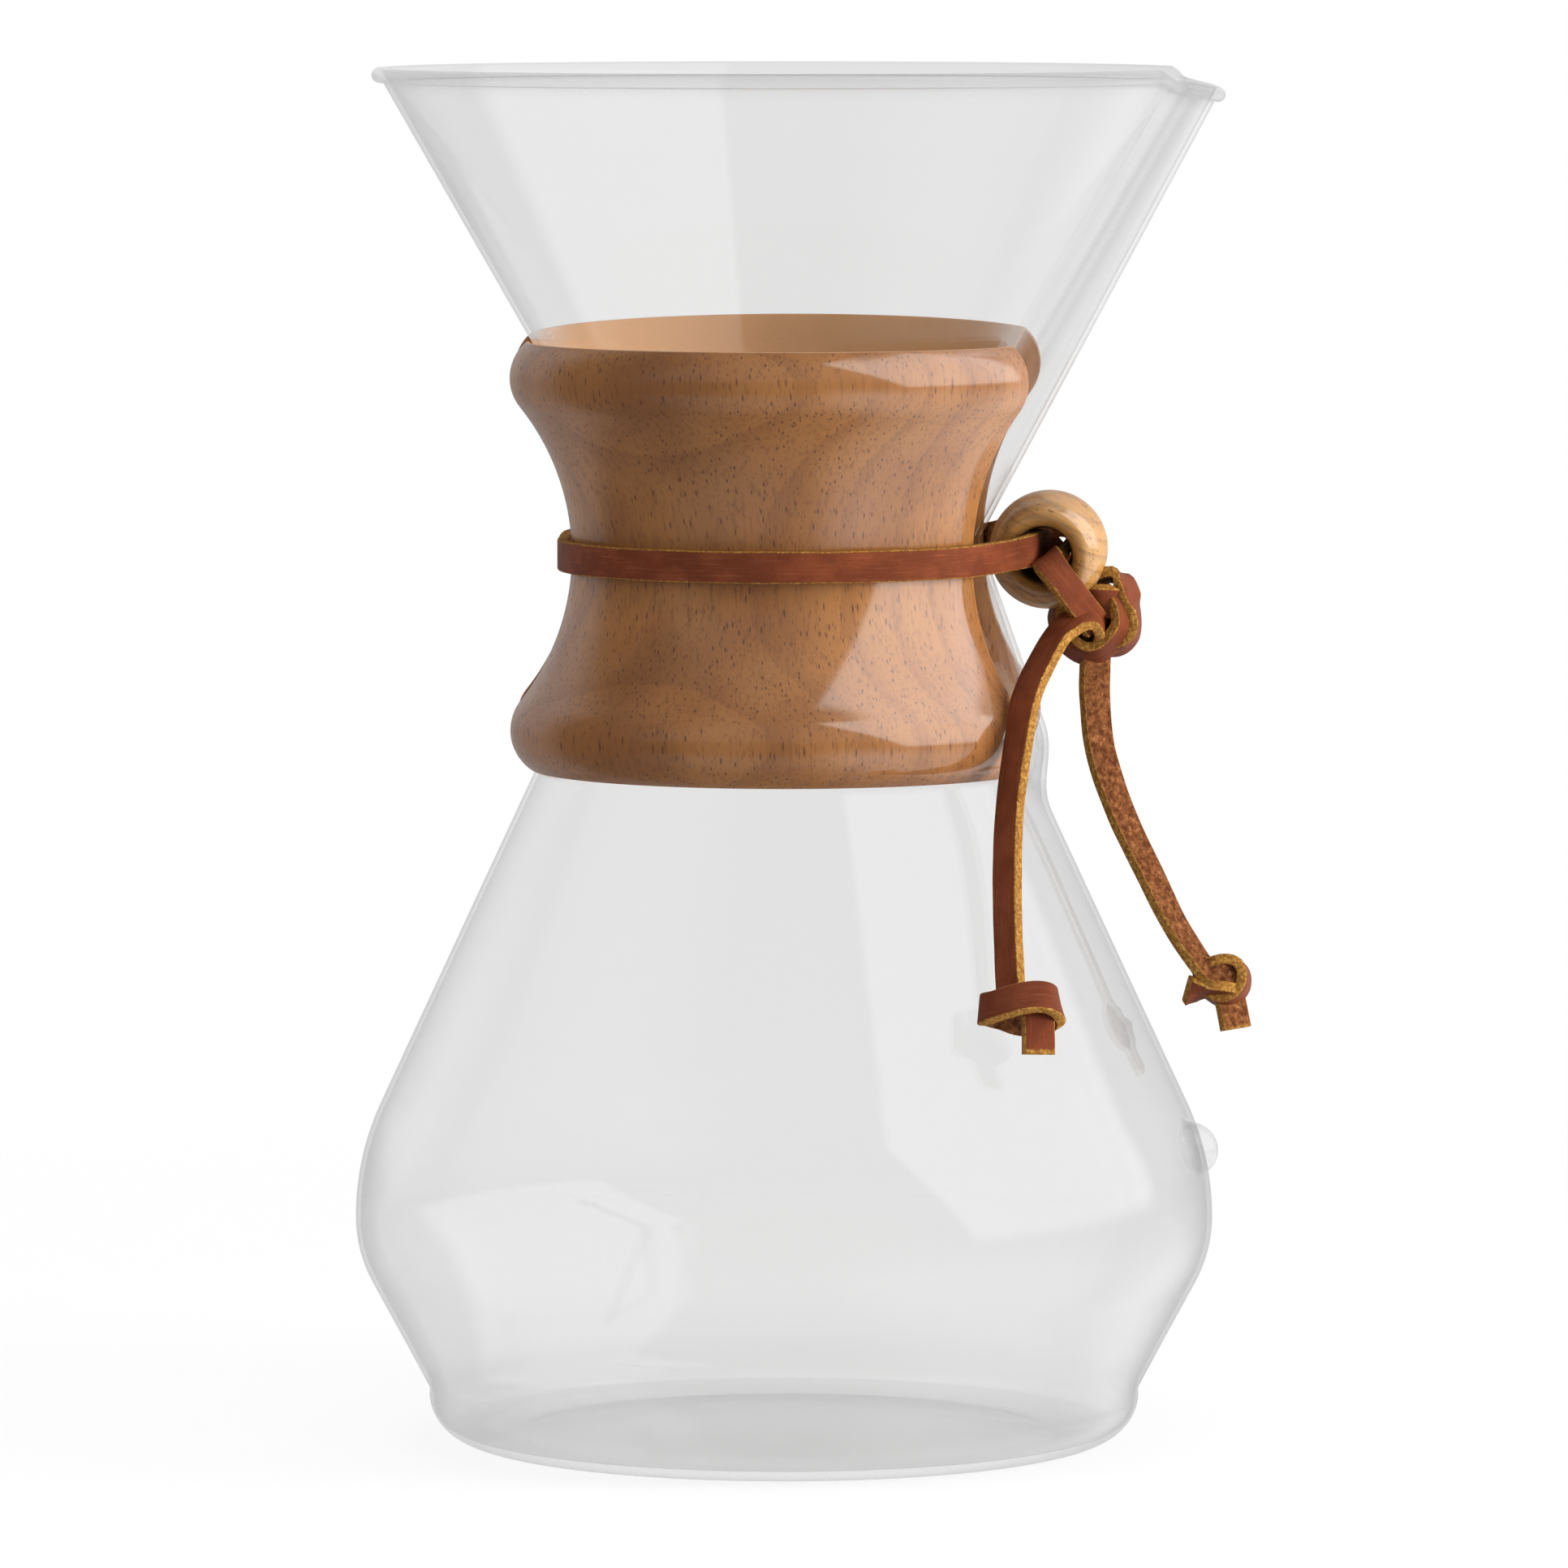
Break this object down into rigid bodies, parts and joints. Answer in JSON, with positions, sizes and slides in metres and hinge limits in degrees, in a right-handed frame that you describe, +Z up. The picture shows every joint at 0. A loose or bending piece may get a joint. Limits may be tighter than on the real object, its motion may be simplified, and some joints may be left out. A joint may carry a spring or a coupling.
{
  "type": "pour-over coffee maker",
  "caption": "Hourglass glass pour-over coffee maker with a pouring channel, a split wooden neck collar, and a leather lace tied through a wooden bead.",
  "frame": {"origin": "centre of the carafe's base, on the surface it stands on", "axes": "+Z up along the carafe's axis, +X towards the pouring lip, -Y towards the front half of the collar"},
  "size_m": [0.1564, 0.1478, 0.2351],
  "materials": {
    "glass": "clear polished borosilicate glass",
    "collar_wood": "honey-brown hardwood with short dark pores, clear gloss lacquer",
    "bead_wood": "pale golden hardwood, satin",
    "leather": "smooth cognac grain side, tan suede back, raw yellow cut edges"
  },
  "bodies": {
    "carafe": {"glass_carafe": "glass", "tie_band": "leather", "tie_knot": "leather"},
    "front_collar": {"collar_front": "collar_wood"},
    "back_collar": {"collar_back": "collar_wood"},
    "bead": {"tie_bead": "bead_wood"},
    "left_tail": {"tail_left": "leather", "end_knot_left": "leather"},
    "right_tail": {"tail_right": "leather", "end_knot_right": "leather"}
  },
  "joints": [
    {"name": "front_collar_slide", "type": "slide", "parent": "carafe", "child": "front_collar", "axis": [0, -1, 0], "range_m": [0, 0.04], "deforming": ["tie_band", "tail_left", "end_knot_left"]},
    {"name": "back_collar_slide", "type": "slide", "parent": "carafe", "child": "back_collar", "axis": [0, 1, 0], "range_m": [0, 0.04], "deforming": ["tie_band"]},
    {"name": "bead_spin", "type": "hinge", "parent": "carafe", "child": "bead", "pos_m": [0.04551, 0, 0.1538], "axis": [0.1207, 0.9829, 0.1392], "continuous": true},
    {"name": "left_tail_swing", "type": "hinge", "parent": "carafe", "child": "left_tail", "pos_m": [0.05, -0.0082, 0.1406], "axis": [-1, 0, 0], "range_deg": [0, 70]},
    {"name": "right_tail_swing", "type": "hinge", "parent": "carafe", "child": "right_tail", "pos_m": [0.0535, 0, 0.1325], "axis": [0, -1, 0], "range_deg": [-4, 50]}
  ]
}
